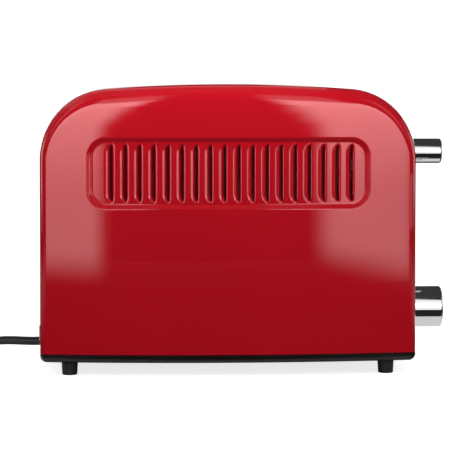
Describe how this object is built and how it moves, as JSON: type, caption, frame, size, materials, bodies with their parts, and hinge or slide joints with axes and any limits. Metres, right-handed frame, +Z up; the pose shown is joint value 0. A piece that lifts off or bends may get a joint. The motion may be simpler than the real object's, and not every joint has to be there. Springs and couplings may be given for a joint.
{
  "type": "two-slot toaster",
  "caption": "Two-slot toaster with bowed pressed sides, louvred vent fields, a carriage lever, a browning knob, push buttons, a crumb tray and a mains cord.",
  "frame": {"origin": "middle of the body and controls on the surface under the feet, without the cord", "axes": "+X along the bread slots to the lever and knob, +Y to the rear long side, +Z up"},
  "size_m": [0.4207, 0.2045, 0.1985],
  "materials": {
    "red_enamel": "gloss",
    "black_plastic": "satin",
    "chrome": "polished",
    "brushed_steel": "brushed",
    "plain_steel": "plain",
    "mica": "matt",
    "heater_wire": "oxidised",
    "rubber": "matt",
    "board": "matt",
    "copper": "enamelled wire",
    "brass": "plain"
  },
  "bodies": {
    "housing": {"front_shell": "red_enamel", "rear_shell": "red_enamel", "top_deck": "brushed_steel", "cord_end_panel": "red_enamel", "control_end_panel": "red_enamel", "base_plate": "black_plastic", "foot_front_left": "rubber", "foot_front_right": "rubber", "foot_rear_left": "rubber", "foot_rear_right": "rubber", "foot_screw_front_left": "plain_steel", "foot_screw_front_right": "plain_steel", "foot_screw_rear_left": "plain_steel", "foot_screw_rear_right": "plain_steel", "cord_end_frame": "plain_steel", "control_end_frame": "plain_steel", "heat_shield_front": "plain_steel", "heat_shield_rear": "plain_steel", "heater_card_front": "mica", "heater_card_middle": "mica", "heater_card_rear": "mica", "heater_winding_front": "heater_wire", "heater_winding_middle": "heater_wire", "heater_winding_rear": "heater_wire", "guide_rod": "plain_steel", "return_spring": "plain_steel", "magnet_core": "plain_steel", "magnet_coil": "copper", "control_board": "board", "timer_pot": "black_plastic", "stop_switch": "black_plastic", "defrost_switch": "black_plastic", "reheat_switch": "black_plastic", "cord_bush": "rubber", "cord_lead": "rubber", "cord_coil": "rubber", "cord_tie": "rubber", "plug_body": "rubber", "plug_blade_left": "brass", "plug_blade_right": "brass"},
    "carriage": {"carriage_plate": "plain_steel", "keeper_plate": "plain_steel", "bread_rack_front": "plain_steel", "bread_rack_rear": "plain_steel", "lever_arm": "plain_steel", "lever_knob": "chrome"},
    "browning_control": {"browning_knob": "chrome", "pot_shaft": "plain_steel"},
    "stop_key": {"stop_button": "chrome"},
    "defrost_key": {"defrost_button": "chrome"},
    "reheat_key": {"reheat_button": "chrome"},
    "guide_front_outer_wire": {"guide_front_outer": "plain_steel"},
    "guide_front_inner_wire": {"guide_front_inner": "plain_steel"},
    "guide_rear_inner_wire": {"guide_rear_inner": "plain_steel"},
    "guide_rear_outer_wire": {"guide_rear_outer": "plain_steel"},
    "tray": {"crumb_tray": "brushed_steel"}
  },
  "joints": [
    {"name": "carriage_slide", "type": "slide", "parent": "housing", "child": "carriage", "axis": [0, 0, -1], "range_m": [0, 0.078], "stiffness_N_per_m": 60, "springref_m": -0.06, "deforming": ["return_spring"]},
    {"name": "browning_turn", "type": "hinge", "parent": "housing", "child": "browning_control", "pos_m": [0.12, 0, 0.0382], "axis": [1, 0, 0], "range_deg": [-135, 135]},
    {"name": "stop_press", "type": "slide", "parent": "housing", "child": "stop_key", "axis": [-1, 0, 0], "range_m": [0, 0.002], "stiffness_N_per_m": 500, "springref_m": -0.002},
    {"name": "defrost_press", "type": "slide", "parent": "housing", "child": "defrost_key", "axis": [-1, 0, 0], "range_m": [0, 0.002], "stiffness_N_per_m": 500, "springref_m": -0.002},
    {"name": "reheat_press", "type": "slide", "parent": "housing", "child": "reheat_key", "axis": [-1, 0, 0], "range_m": [0, 0.002], "stiffness_N_per_m": 500, "springref_m": -0.002},
    {"name": "guide_front_outer_lean", "type": "hinge", "parent": "housing", "child": "guide_front_outer_wire", "pos_m": [-0.012, -0.0375, 0.052], "axis": [1, 0, 0], "range_deg": [-3, 0]},
    {"name": "guide_front_inner_lean", "type": "hinge", "parent": "housing", "child": "guide_front_inner_wire", "pos_m": [-0.012, -0.0105, 0.052], "axis": [1, 0, 0], "range_deg": [0, 3]},
    {"name": "guide_rear_inner_lean", "type": "hinge", "parent": "housing", "child": "guide_rear_inner_wire", "pos_m": [-0.012, 0.0105, 0.052], "axis": [1, 0, 0], "range_deg": [-3, 0]},
    {"name": "guide_rear_outer_lean", "type": "hinge", "parent": "housing", "child": "guide_rear_outer_wire", "pos_m": [-0.012, 0.0375, 0.052], "axis": [1, 0, 0], "range_deg": [0, 3]},
    {"name": "tray_slide", "type": "slide", "parent": "housing", "child": "tray", "axis": [-1, 0, 0], "range_m": [0, 0.13]}
  ],
  "couplings": [
    {"joint": "guide_front_outer_lean", "follows": "carriage_slide", "rad_per_m": -0.67},
    {"joint": "guide_front_inner_lean", "follows": "carriage_slide", "rad_per_m": 0.67},
    {"joint": "guide_rear_inner_lean", "follows": "carriage_slide", "rad_per_m": -0.67},
    {"joint": "guide_rear_outer_lean", "follows": "carriage_slide", "rad_per_m": 0.67}
  ]
}
